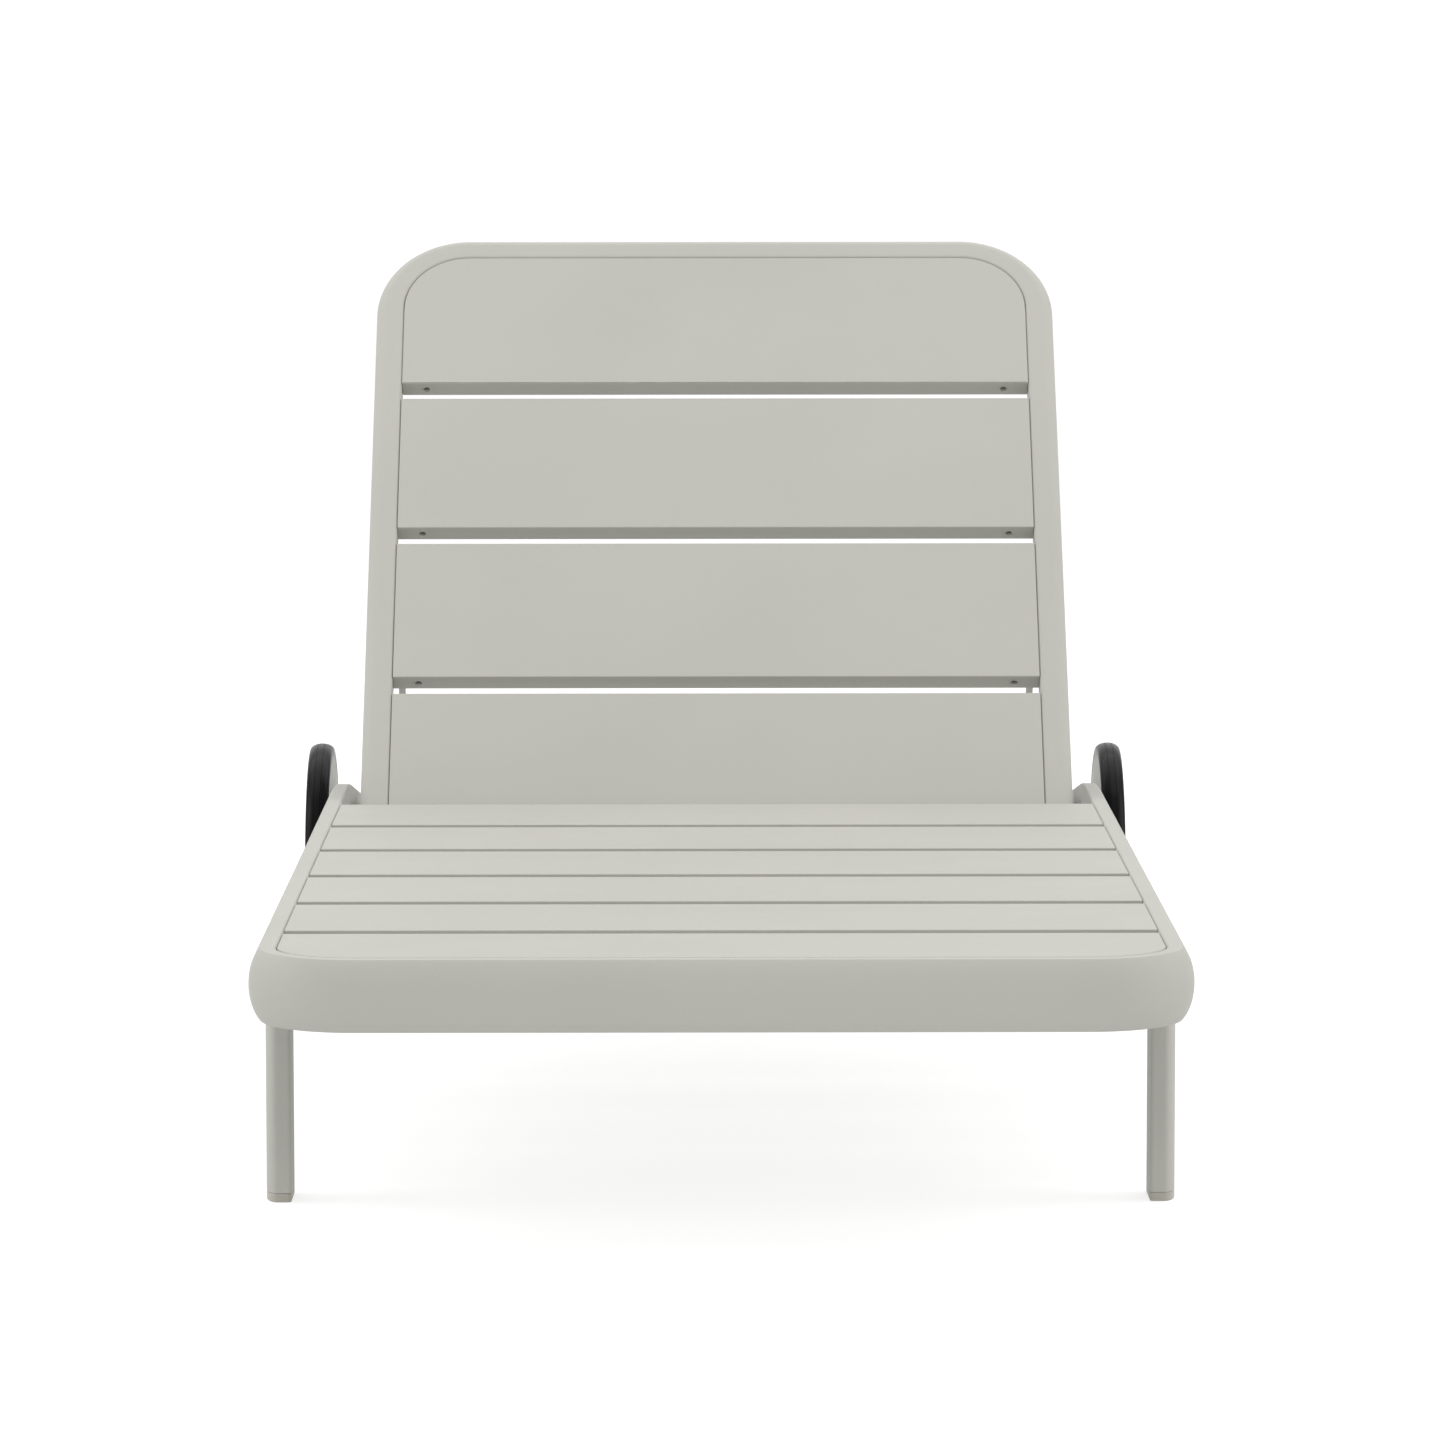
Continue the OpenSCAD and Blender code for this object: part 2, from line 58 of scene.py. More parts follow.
# Sizes of the sections, in metres
TUBE_FLAT = 0.014         # flat top of a frame tube
TUBE_ROUND = 0.021        # half-width of the ellipse that its outer side is an arc of
BACK_FLAT = 0.0165        # flat top of the back's tube
LEG_FLAT = 0.012          # flat part of a leg's width
WALL = 0.002              # tube wall
INNER_R = 0.003           # radius of a tube's inner long edges
SLAT_WALL = 0.0018
SLAT_EDGE = 0.0011        # radius of a slat's long edges
EYELET_R = 0.0035
EYELET_IN = 0.025         # from the slat's end
EYELET_TUBE = 0.0005      # wall of an eyelet's barrel
EYELET_RIM = 0.0047       # outer radius of its flange
EYELET_OUT = 0.0006       # how far the flange stands proud
EYELET_DEEP = 0.0048      # how far the barrel reaches into the slat
CLEAR = 0.0003            # between neighbouring pieces
FOOT_GAP = 0.0001         # under the leg; the foot's plug starts this much lower still
SLOPE = math.radians(9)
SLOPE_R = 0.5             # bend in the rails, measured on their tops
SLOPE_START = 0.19        # behind the last seat slat
CAP_T = 0.003             # thickness of a rail's end cap
GUIDE_SLOPE = math.radians(7)   # of the side plates' slots
PLATE_HALF = 0.014        # half the width of a side plate
CAP_PLUG = 0.02           # how far a rail cap's plug reaches in
SHARP = math.radians(40)  # edges steeper than this stay sharp or are bevelled
SAME_PLACE = 1e-6         # points closer than this are one

# Places, from the CAD boxes
RAIL_LO, RAIL_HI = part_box("right_rail")
BAR_LO, BAR_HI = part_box("front_bar")
SEAT_LO, SEAT_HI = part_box("seat_slat_6")
RAIL_IN, RAIL_OUT, SEAT_Z = RAIL_LO.x, RAIL_HI.x, RAIL_HI.z
TUBE_W = RAIL_OUT - RAIL_IN
BULGE = TUBE_W - TUBE_FLAT
RAIL_H = BAR_HI.z - BAR_LO.z
RAIL_SECTION = (TUBE_FLAT, BULGE, TUBE_ROUND, RAIL_H)
Y_FRONT = BAR_LO.y + TUBE_W
BEND_IN = RAIL_LO.y - Y_FRONT
Y_END = SEAT_HI.y
SLAT_T = SEAT_HI.z - SEAT_LO.z
JOINTS = {j["name"]: j for j in frame["joints"]}
HINGE = Vector(JOINTS["back_recline"]["pos_m"])
BACK_ANGLE = -math.radians(JOINTS["back_recline"]["range_deg"][0])
IN_BACK = Matrix.Translation(HINGE) @ Matrix.Rotation(BACK_ANGLE, 4, "X")
AXLE = Vector(JOINTS["right_wheel_spin"]["pos_m"])


# ---------------------------------------------------------------- shapes
# A shape is (points, faces). A loop is a closed list of 2-D points.

def vec2(pairs):
    return [Vector(p) for p in pairs]


def oriented(loop, counter_clockwise):
    area = sum(a.x * b.y - b.x * a.y for a, b in zip(loop, loop[1:] + loop[:1]))
    return list(loop) if (area > 0) == counter_clockwise else list(reversed(loop))


def offset(loop, distance):
    """Moves a loop outwards, where outwards is on the right of its direction."""
    shortest = 0.4   # keeps the mitre of a very sharp corner short
    out = []
    for before, here, after in zip(loop[-1:] + loop[:-1], loop, loop[1:] + loop[:1]):
        a, b = (here - before).normalized(), (after - here).normalized()
        n, m = Vector((a.y, -a.x)), Vector((b.y, -b.x))
        mitre = (n + m).normalized()
        out.append(here + mitre * distance / max(mitre.dot(n), shortest))
    return out


def rounded(corners, radii, steps=5):
    """A loop through the corners, each rounded by its own radius."""
    loop, count = [], len(corners)
    for i in range(count):
        here = Vector(corners[i])
        before = (Vector(corners[i - 1]) - here).normalized()
        after = (Vector(corners[(i + 1) % count]) - here).normalized()
        r = radii[i] if isinstance(radii, (list, tuple)) else radii
        if r <= 0:
            loop.append(here)
            continue
        half = before.angle(after) / 2
        centre = here + (before + after).normalized() * r / math.sin(half)
        start = here + before * r / math.tan(half) - centre
        end = here + after * r / math.tan(half) - centre
        first = math.atan2(start.y, start.x)
        turn = math.atan2(end.y, end.x) - first
        turn = (turn + math.pi) % (2 * math.pi) - math.pi
        for k in range(steps + 1):
            a = first + turn * k / steps
            loop.append(centre + r * Vector((math.cos(a), math.sin(a))))
    return loop


def profile(rows, steps):
    """A rounded loop from rows of (axial, radius, rounding)."""
    return rounded([row[:2] for row in rows], [row[2] for row in rows], steps)


def circle(r, steps=40):
    return vec2([(r * math.cos(2 * math.pi * k / steps), r * math.sin(2 * math.pi * k / steps))
                 for k in range(steps)])


def d_loop(flat, bulge, wide, h, edge, inset=0.0, steps=40):
    """Section of a frame tube: u = 0 is its inner face, v = 0 its flat top. Its outer side is
    the part beyond the flat of an ellipse whose half-width is wide."""
    reach = math.acos(1 - (bulge - inset) / (wide - inset))
    low, high, inner = -h + inset, -inset, inset
    quarter, side = 6, 12   # steps round an inner edge and down the inner face
    loop = []
    for k in range(quarter + 1):
        a = math.pi * (1 - k / (2 * quarter))
        loop.append((inner + edge + edge * math.cos(a), high - edge + edge * math.sin(a)))
    for k in range(steps + 1):
        a = reach * (1 - 2 * k / steps)
        loop.append((flat + bulge - wide + (wide - inset) * math.cos(a),
                     -h / 2 + (h / 2 - inset) * math.sin(a) / math.sin(reach)))
    for k in range(quarter + 1):
        a = -math.pi * (0.5 + k / (2 * quarter))
        loop.append((inner + edge + edge * math.cos(a), low + edge + edge * math.sin(a)))
    for k in range(1, side):
        t = k / side
        loop.append((inner, (low + edge) * (1 - t) + (high - edge) * t))
    return vec2(loop)


def tube_loops(section):
    """Outline and bore of a tube."""
    return [d_loop(*section, INNER_R), d_loop(*section, INNER_R / 2, WALL)]


def loft(loops, stations):
    """A closed solid along a path. loops[0] is its outline and the rest are hollows right through.
    A station is (matrix, inset): the matrix takes (u, v, 0) to its place, with the path along w."""
    loops = [oriented(loops[0], True)] + [oriented(h, False) for h in loops[1:]]
    points, faces = [], []
    per_ring = sum(len(h) for h in loops)
    for matrix, inset in stations:
        for h in loops:
            for p in (offset(h, -inset) if inset else h):
                points.append(matrix @ Vector((p.x, p.y, 0)))
    first = 0
    for h in loops:
        n = len(h)
        for k in range(len(stations) - 1):
            low, high = k * per_ring + first, (k + 1) * per_ring + first
            for i in range(n):
                j = (i + 1) % n
                faces.append([low + i, low + j, high + j, high + i])
        first += n
    flat = [[p.to_3d() for p in h] for h in loops]
    ends = [p for h in flat for p in h]
    last = (len(stations) - 1) * per_ring
    for a, b, c in tessellate_polygon(flat):
        up = (ends[b] - ends[a]).cross(ends[c] - ends[a]).z > 0
        a, b, c = (a, b, c) if up else (a, c, b)
        faces.append([last + a, last + b, last + c])
        faces.append([c, b, a])
    return points, faces


def prism(loops, low, high, edge=0.0, steps=4, place=None):
    """A flat-ended solid from w = low to w = high, with both ends' edges rounded."""
    place = place or Matrix.Identity(4)
    marks = [(low, 0.0)]
    if edge:
        arc = [(edge * (1 - math.cos(a)), edge * (1 - math.sin(a)))
               for a in (math.pi / 2 * k / steps for k in range(steps + 1))]
        marks = [(low + w, inset) for w, inset in arc]
        marks += [(high - w, inset) for w, inset in reversed(arc)]
    else:
        marks.append((high, 0.0))
    return loft(loops, [(place @ Matrix.Translation((0, 0, w)), inset) for w, inset in marks])


def turned(loop, steps=96, place=None):
    """Turns a closed loop of (axial, radius) points about the X axis."""
    place = place or Matrix.Identity(4)
    loop = oriented(loop, False)
    points, faces, count = [], [], len(loop)
    for k in range(steps):
        a = 2 * math.pi * k / steps
        for p in loop:
            points.append(place @ Vector((p.x, p.y * math.cos(a), p.y * math.sin(a))))
    for k in range(steps):
        here, there = k * count, (k + 1) % steps * count
        for i in range(count):
            j = (i + 1) % count
            if loop[i].y or loop[j].y:   # nothing along the axis itself
                faces.append([here + i, here + j, there + j, there + i])
    return points, faces


def join(*shapes):
    points, faces = [], []
    for p, f in shapes:
        base = len(points)
        points += p
        faces += [[base + i for i in face] for face in f]
    return points, faces


def moved(shape, matrix):
    return [matrix @ Vector(p) for p in shape[0]], shape[1]


def mirrored(shape):
    return [Vector((-p[0], p[1], p[2])) for p in shape[0]], [f[::-1] for f in shape[1]]


def hollow(shape):
    """The same faces seen from inside, for a closed cavity."""
    return shape[0], [f[::-1] for f in shape[1]]


def both_sides(shape):
    return join(shape, mirrored(shape))


# (u, v, w) to the lounger's axes
ALONG_X = Matrix(((0, 0, 1, 0), (1, 0, 0, 0), (0, 1, 0, 0), (0, 0, 0, 1)))


def facing(origin, u, v):
    """Matrix of a path frame with the section's axes u and v."""
    u, v = Vector(u).normalized(), Vector(v).normalized()
    w = u.cross(v)
    return Matrix(((u.x, v.x, w.x, origin[0]), (u.y, v.y, w.y, origin[1]),
                   (u.z, v.z, w.z, origin[2]), (0, 0, 0, 1)))


# ---------------------------------------------------------------- objects

def mesh_object(name, shape):
    mesh = bpy.data.meshes.new(name)
    mesh.from_pydata([tuple(p) for p in shape[0]], [], shape[1])
    obj = bpy.data.objects.new(name, mesh)
    bpy.context.scene.collection.objects.link(obj)
    weld_points(mesh)
    mesh.shade_smooth()
    mesh.set_sharp_from_angle(angle=SHARP)
    return obj


def weld_points(mesh):
    bm = bmesh.new()
    bm.from_mesh(mesh)
    bmesh.ops.remove_doubles(bm, verts=bm.verts, dist=SAME_PLACE)
    bm.to_mesh(mesh)
    bm.free()


def even_shading(obj):
    """Keeps large flat faces flat beside their rounded edges."""
    modifier = obj.modifiers.new("even_shading", "WEIGHTED_NORMAL")
    modifier.mode = "FACE_AREA"
    modifier.weight = 100   # the largest faces decide
    modifier.keep_sharp = True


def piece(name, shape, material, body, nodes=()):
    obj = mesh_object(name, shape)
    even_shading(obj)
    obj.data.materials.append(material)
    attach(obj, body)
    if nodes:
        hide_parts(*nodes)
    return obj


def for_node(node, shape):
    """A finer mesh that stands for one CAD node, in that node's body and slot."""
    slot = SLOT_OF[node]
    return piece(node + "_look", shape, MATERIALS[slot], BODY_OF[node], [node])


def cut_holes(obj, shape):
    """Cuts a closed shape out of the piece's mesh."""
    cutter = mesh_object("cutter", shape)
    modifier = obj.modifiers.new("holes", "BOOLEAN")
    modifier.operation = "DIFFERENCE"
    modifier.solver = "EXACT"
    modifier.object = cutter
    obj.modifiers.move(len(obj.modifiers) - 1, 0)
    for other in obj.modifiers:
        other.show_viewport = other == modifier
    bpy.context.view_layer.update()
    result = bpy.data.meshes.new_from_object(obj.evaluated_get(bpy.context.evaluated_depsgraph_get()))
    result.name = obj.data.name
    obj.modifiers.remove(modifier)
    for other in obj.modifiers:
        other.show_viewport = True
    obj.data = result
    result.shade_smooth()
    result.set_sharp_from_angle(angle=SHARP)
    bpy.data.objects.remove(cutter)


# ---------------------------------------------------------------- materials

class Nodes:
    """Short names for building a material's node tree."""

    def __init__(self, name):
        self.material = bpy.data.materials.new(name)
        self.material.use_nodes = True
        self.tree = self.material.node_tree
        self.tree.nodes.clear()
        self.out = self.add("ShaderNodeOutputMaterial")
        self.shader = self.add("ShaderNodeBsdfPrincipled")
        self.link(self.shader.outputs[0], self.out.inputs["Surface"])
        self.place = self.add("ShaderNodeTexCoord").outputs["Object"]

    def add(self, kind, **settings):
        node = self.tree.nodes.new(kind)
        for key, value in settings.items():
            setattr(node, key, value)
        return node

    def link(self, a, b):
        self.tree.links.new(a, b)

    def scaled(self, scale):
        node = self.add("ShaderNodeMapping")
        node.inputs["Scale"].default_value = scale
        self.link(self.place, node.inputs["Vector"])
        return node.outputs["Vector"]

    def noise(self, scale, detail=2.0, rough=0.5, stretch=None):
        node = self.add("ShaderNodeTexNoise")
        node.inputs["Scale"].default_value = scale
        node.inputs["Detail"].default_value = detail
        node.inputs["Roughness"].default_value = rough
        self.link(self.scaled(stretch) if stretch else self.place, node.inputs["Vector"])
        return node.outputs["Fac"]

    def ramp(self, value, low, high, dark=0.0, light=1.0):
        """Takes value from low..high to dark..light, smoothly."""
        node = self.add("ShaderNodeMapRange", interpolation_type="SMOOTHSTEP")
        for socket, number in zip(("From Min", "From Max", "To Min", "To Max"),
                                  (low, high, dark, light)):
            node.inputs[socket].default_value = number
        self.link(value, node.inputs["Value"])
        return node.outputs["Result"]

    def blend(self, value, a, b):
        node = self.add("ShaderNodeMix", data_type="RGBA")
        node.inputs["A"].default_value = (*a, 1)
        node.inputs["B"].default_value = (*b, 1)
        self.link(value, node.inputs["Factor"])
        return node.outputs["Result"]

    def bump(self, height, distance, strength=1.0, under=None):
        node = self.add("ShaderNodeBump")
        node.inputs["Distance"].default_value = distance
        node.inputs["Strength"].default_value = strength
        self.link(height, node.inputs["Height"])
        if under:
            self.link(under, node.inputs["Normal"])
        return node.outputs["Normal"]

    def finish(self, colour, rough, normal, **constants):
        self.link(colour, self.shader.inputs["Base Color"])
        self.link(rough, self.shader.inputs["Roughness"])
        self.link(normal, self.shader.inputs["Normal"])
        for key, value in constants.items():
            self.shader.inputs[key.replace("_", " ")].default_value = value
        return self.material


# Noise scales count waves per metre, except where a noise is stretched.

def tinted(colour, factor):
    return tuple(c * factor for c in colour)


def powder_coat(name, colour):
    """Satin powder coat: fine orange peel, slightly uneven gloss and tone."""
    n = Nodes(name)
    tone = n.ramp(n.noise(3.5, 3.0), 0.35, 0.65)
    speck = n.ramp(n.noise(2600.0, 1.0), 0.3, 0.7)
    base = n.blend(tone, tinted(colour, 0.985), tinted(colour, 1.015))
    grain = n.add("ShaderNodeMix", data_type="RGBA", blend_type="MULTIPLY")
    grain.inputs["Factor"].default_value = 0.06
    n.link(base, grain.inputs["A"])
    n.link(speck, grain.inputs["B"])
    rough = n.ramp(n.noise(9.0, 4.0), 0.3, 0.7, dark=0.54, light=0.62)
    peel = n.bump(n.noise(420.0, 2.0), distance=0.00012, strength=0.5)
    fine = n.bump(n.noise(1700.0, 2.0), distance=0.00004, strength=0.5, under=peel)
    return n.finish(grain.outputs["Result"], rough, fine, IOR=1.5, Specular_IOR_Level=0.16)


def moulded_plastic(name, colour, rough_low, rough_high):
    """Spark-eroded moulded plastic: fine grain, faint flow marks."""
    n = Nodes(name)
    flow = n.ramp(n.noise(30.0, 3.0, stretch=(1, 1, 0.3)), 0.35, 0.65)
    base = n.blend(flow, tinted(colour, 0.94), tinted(colour, 1.06))
    rough = n.ramp(n.noise(60.0, 3.0), 0.3, 0.7, rough_low, rough_high)
    grain = n.bump(n.noise(2200.0, 3.0, 0.7), distance=0.00008, strength=0.7)
    return n.finish(base, rough, grain, IOR=1.5)


def tyre_rubber(name, colour):
    """Black rubber with a little dust in its grain and a soft sheen."""
    n = Nodes(name)
    dust = n.ramp(n.noise(45.0, 5.0, 0.65), 0.45, 0.8)
    base = n.blend(dust, colour, tinted(colour, 1.8))
    rough = n.ramp(n.noise(25.0, 4.0), 0.3, 0.7, dark=0.24, light=0.33)
    grain = n.bump(n.noise(1500.0, 3.0, 0.7), distance=0.00008, strength=0.6)
    return n.finish(base, rough, grain, IOR=1.5, Specular_IOR_Level=0.08)


def metal(name, colour, stretch, rough_low, rough_high):
    """Bare metal with fine lines along one direction."""
    n = Nodes(name)
    lines = n.noise(1.0, 4.0, 0.6, stretch)
    base = n.blend(n.ramp(lines, 0.3, 0.7), tinted(colour, 0.9), tinted(colour, 1.08))
    rough = n.ramp(lines, 0.3, 0.7, rough_low, rough_high)
    normal = n.bump(lines, distance=0.00003, strength=0.5)
    return n.finish(base, rough, normal, Metallic=1.0)


GREIGE = (0.366, 0.361, 0.332)
# aluminium kept dark as painted shade: the tabs seen inside the eyelets and open slat ends read as a dark cavity
ALUMINIUM_DARKENED_AS_SHADE = (0.36, 0.36, 0.355)
STAINLESS = (0.62, 0.61, 0.59)
TAUPE = (0.30, 0.285, 0.25)
NYLON_BLACK = (0.020, 0.020, 0.021)
RUBBER_BLACK = (0.0035, 0.0035, 0.0036)

MATERIALS = {
    "frame_paint": powder_coat("greige_powder_coat", GREIGE),
    # eyelet rims: the frame paint made 5% lighter, a painted highlight for the light edge of their rolled flanges
    "painted_eyelet": powder_coat("greige_rim_painted_highlight", tinted(GREIGE, 1.05)),
    # bare aluminium: its dark colour is painted shade for the insides of the slats
    "bare_aluminium": metal("aluminium_darkened_as_shade", ALUMINIUM_DARKENED_AS_SHADE, (40, 900, 900), 0.30, 0.45),
    "steel": metal("brushed_stainless", STAINLESS, (30, 1500, 1500), 0.22, 0.36),
    "taupe_plastic": moulded_plastic("taupe_plastic", TAUPE, 0.45, 0.60),
    "black_nylon": moulded_plastic("black_nylon", NYLON_BLACK, 0.42, 0.58),
    "tyre_rubber": tyre_rubber("black_rubber", RUBBER_BLACK),
}


# ---------------------------------------------------------------- frame tubes

def corner(centre, first, last, steps=40):
    """Path frames round a bent corner, seen from above, with v up."""
    out = []
    for k in range(steps + 1):
        a = math.radians(first + (last - first) * k / steps)
        u = Vector((math.cos(a), math.sin(a), 0))
        out.append((facing(Vector(centre) + u * BEND_IN, u, (0, 0, 1)), 0.0))
    return out


def front_bar():
    """The bar across the foot end, with the frame's two bent corners."""
    x, y = RAIL_IN - BEND_IN, Y_FRONT + BEND_IN
    path = corner((x, y, SEAT_Z), 0, -90) + corner((-x, y, SEAT_Z), -90, -180)
    for_node("front_bar", loft(tube_loops(RAIL_SECTION), path))


def rail_frame(beta):
    """Path frame on the rail's bend, beta radians round from the flat."""
    crest = Vector((RAIL_IN, Y_END + SLOPE_START - SLOPE_R * math.tan(SLOPE / 2), SEAT_Z - SLOPE_R))
    up = Vector((0, math.sin(beta), math.cos(beta)))
    return facing(crest + SLOPE_R * up, (1, 0, 0), up)


def rails():
    """The side rails, bent down behind the seat, and their end caps."""
    bend_steps = 24
    length = (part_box("right_rail_cap")[1].y - rail_frame(SLOPE).translation.y) / math.cos(SLOPE)
    end = rail_frame(SLOPE) @ Matrix.Translation((0, 0, CAP_T - length))
    path = [(end, 0.0)] + [(rail_frame(SLOPE * (1 - k / bend_steps)), 0.0)
                             for k in range(bend_steps + 1)]
    path.append((facing((RAIL_IN, Y_FRONT + BEND_IN, SEAT_Z), (1, 0, 0), (0, 0, 1)), 0.0))
    shape = loft(tube_loops(RAIL_SECTION), path)
    for_node("right_rail", shape)
    for_node("left_rail", mirrored(shape))
    outline, plug = tube_loops(RAIL_SECTION)
    cap = join(prism([outline], -CAP_T, 0, edge=0.0012, place=end),
               prism([plug], 0, CAP_PLUG, edge=0.0008, place=end))
    for_node("right_rail_cap", cap)
    for_node("left_rail_cap", mirrored(cap))


def feet():
    """Plastic feet, each with a plug in the leg's bore."""
    lo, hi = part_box("right_front_leg")
    bulge = hi.x - lo.x - LEG_FLAT
    place = Matrix.Translation((lo.x, hi.y, 0))
    foot_lo, foot_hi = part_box("right_foot_cap")
    outline, plug = tube_loops((LEG_FLAT, bulge, bulge, hi.y - lo.y))
    foot = join(prism([outline], foot_lo.z, lo.z - FOOT_GAP, edge=0.0010, place=place),
                prism([plug], lo.z - 2 * FOOT_GAP, foot_hi.z, edge=0.0006, place=place))
    for_node("right_foot_cap", foot)
    for_node("left_foot_cap", mirrored(foot))


# ---------------------------------------------------------------- slats

def slat_shape(half, y0, y1, top):
    """A hollow bar across the frame, from y0 to y1, with rounded long edges."""
    outer = rounded([(y0, top - SLAT_T), (y1, top - SLAT_T), (y1, top), (y0, top)], SLAT_EDGE)
    w = SLAT_WALL
    inner = rounded([(y0 + w, top - SLAT_T + w), (y1 - w, top - SLAT_T + w),
                     (y1 - w, top - w), (y0 + w, top - w)], radii=0.0006, steps=3)
    return prism([outer, inner], -half, half, place=ALONG_X)


def corner_slat_shape(half, y0, y1, top, radii):
    """A hollow slat whose plan has round corners, to fill the frame's bent end."""
    least = 0.0004   # rounding of the corners that are square

    def plan(inset):
        return rounded([(-half + inset, y0 + inset), (half - inset, y0 + inset),
                        (half - inset, y1 - inset), (-half + inset, y1 - inset)],
                       [max(r - inset, least) for r in radii], steps=24)

    w = SLAT_WALL
    outer = prism([plan(0)], top - SLAT_T, top, SLAT_EDGE)
    return join(outer, hollow(prism([plan(w)], top - SLAT_T + w, top - w)))


def eyelet_places(half, y, top):
    return [(x, y, top - SLAT_T / 2) for x in (EYELET_IN - half, half - EYELET_IN)]


def outwards(spot, way):
    """Turned shapes have their axis on X: this points X along way * Y at the spot."""
    return Matrix.Translation(spot) @ Matrix.Rotation(way * math.pi / 2, 4, "Z")


def eyelet_holes(spots, way):
    reach = SLAT_WALL + 0.001   # a little past the wall
    ring = circle(EYELET_R + EYELET_TUBE * 0.9)
    to_x = Matrix.Rotation(math.pi / 2, 4, "Y")
    return join(*[prism([ring], -reach, reach, place=outwards(s, way) @ to_x) for s in spots])


def eyelet_shapes(spots, way):
    """Open eyelets: a barrel with a rolled flange."""
    fine, outer = 0.0001, EYELET_R + EYELET_TUBE
    loop = profile([(-EYELET_DEEP, EYELET_R, fine), (EYELET_OUT, EYELET_R, 0.0003),
                    (EYELET_OUT, EYELET_RIM, 0.0004), (0, EYELET_RIM, fine),
                    (0, outer, fine), (-EYELET_DEEP, outer, fine)], 4)
    return join(*[turned(loop, steps=40, place=outwards(s, way)) for s in spots])


def seat_slats():
    rims = []
    for k in range(1, 7):
        node = f"seat_slat_{k}"
        lo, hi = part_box(node)
        if k == 1:
            r = BEND_IN - CLEAR
            shape, y, way = corner_slat_shape(hi.x, lo.y, hi.y, hi.z, [r, r, 0, 0]), hi.y, 1
        else:
            shape, y, way = slat_shape(hi.x, lo.y, hi.y, hi.z), lo.y, -1
        spots = eyelet_places(hi.x, y, hi.z)
        cut_holes(for_node(node, shape), eyelet_holes(spots, way))
        rims.append(eyelet_shapes(spots, way))
    for_node("seat_slat_eyelets", join(*rims))


# ---------------------------------------------------------------- back

def local_box(node):
    """A back node's box in the back's own frame: y runs up the back, z out of its face."""
    inverse = IN_BACK.inverted()
    spots = [inverse @ v.co for v in frame["nodes"][node].data.vertices]
    return (Vector([min(p[i] for p in spots) for i in range(3)]),
            Vector([max(p[i] for p in spots) for i in range(3)]))


def back_frame():
    """The back's bent tube: top bar and two side tubes, rounded off at the hinge."""
    lo, hi = local_box("right_back_rail")
    inner, height = lo.x, hi.z - lo.z
    x, s = inner - BEND_IN, hi.y
    bulge = hi.x - inner - BACK_FLAT
    loops = tube_loops((BACK_FLAT, bulge, bulge, height))
    path = corner((-x, s, hi.z), 180, 90) + corner((x, s, hi.z), 90, 0)
    for_node("back_top_bar", moved(loft(loops, path), IN_BACK))
    ends = [(facing((inner, y, hi.z), (1, 0, 0), (0, 0, 1)), 0.0) for y in (s, lo.y)]
    points, faces = loft(loops, ends)
    radius = height / 2
    for p in points:
        if p.y < 0:   # the lower end is round about the hinge
            p.y = -math.sqrt(max(radius ** 2 - p.z ** 2, 0))
    rail = moved((points, faces), IN_BACK)
    for_node("right_back_rail", rail)
    for_node("left_back_rail", mirrored(rail))


def back_slats():
    rims = []
    for k in range(1, 5):
        node = f"back_slat_{k}"
        lo, hi = local_box(node)
        if k == 1:
            r = BEND_IN - CLEAR
            shape = corner_slat_shape(hi.x, lo.y, hi.y, hi.z, [0, 0, r, r])
        else:
            shape = slat_shape(hi.x, lo.y, hi.y, hi.z)
        spots = eyelet_places(hi.x, lo.y, hi.z)
        cut_holes(for_node(node, moved(shape, IN_BACK)), moved(eyelet_holes(spots, -1), IN_BACK))
        rims.append(moved(eyelet_shapes(spots, -1), IN_BACK))
    for_node("back_slat_eyelets", join(*rims))


# ---------------------------------------------------------------- wheels

def at_wheel(shape):
    return moved(shape, Matrix.Translation((0, AXLE.y, AXLE.z)))


def wheel_pair(node, loop, steps=192):
    shape = at_wheel(turned(loop, steps))
    for_node("right_" + node, shape)
    for_node("left_" + node, mirrored(shape))


def tyres():
    """Solid tyres with a half-round crown and two fine grooves."""
    crown_steps = 40
    lo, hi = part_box("right_tyre")
    disc_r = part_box("right_wheel_disc")[1].z - AXLE.z
    r = hi.z - AXLE.z
    width, middle, depth = hi.x - lo.x, (lo.x + hi.x) / 2, r - disc_r
    groove_gap, groove_w, groove_d = 0.007, 0.0008, 0.0008
    loop = [(hi.x, disc_r), (lo.x, disc_r)]
    for k in range(crown_steps + 1):
        a = math.pi * (1 - k / crown_steps)
        loop.append((middle + width / 2 * math.cos(a), r - depth / 2 + depth / 2 * math.sin(a)))
    out = []
    for here, after in zip(loop, loop[1:] + loop[:1]):
        out.append(here)
        for g in (middle - groove_gap / 2, middle + groove_gap / 2):
            if here[1] > r - depth / 2 and here[0] < g <= after[0]:
                t = (g - here[0]) / (after[0] - here[0])
                y = here[1] + t * (after[1] - here[1])
                out += [(g - groove_w / 2, y), (g - groove_w / 4, y - groove_d),
                        (g + groove_w / 4, y - groove_d), (g + groove_w / 2, y)]
    wheel_pair("tyre", vec2(out), steps=240)


def discs():
    """Painted discs with a hub and a raised rim."""
    lo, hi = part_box("right_wheel_disc")
    r, x0, x1 = hi.z - AXLE.z, lo.x, hi.x
    bush_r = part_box("right_wheel_bush")[1].z - AXLE.z
    hub_r, web, rim, hub_end = 0.022, 0.004, 0.004, 0.001
    loop = profile([(x0, bush_r, 0.0004), (x1 - hub_end, bush_r, 0.0006),
                    (x1 - hub_end, hub_r, 0.0010), (x0 + web, hub_r, 0.0025),
                    (x0 + web, r - rim, 0.0025), (x1, r - rim, 0.0006),
                    (x1, r, 0.0006), (x0, r, 0.0008)], 5)
    wheel_pair("wheel_disc", loop)


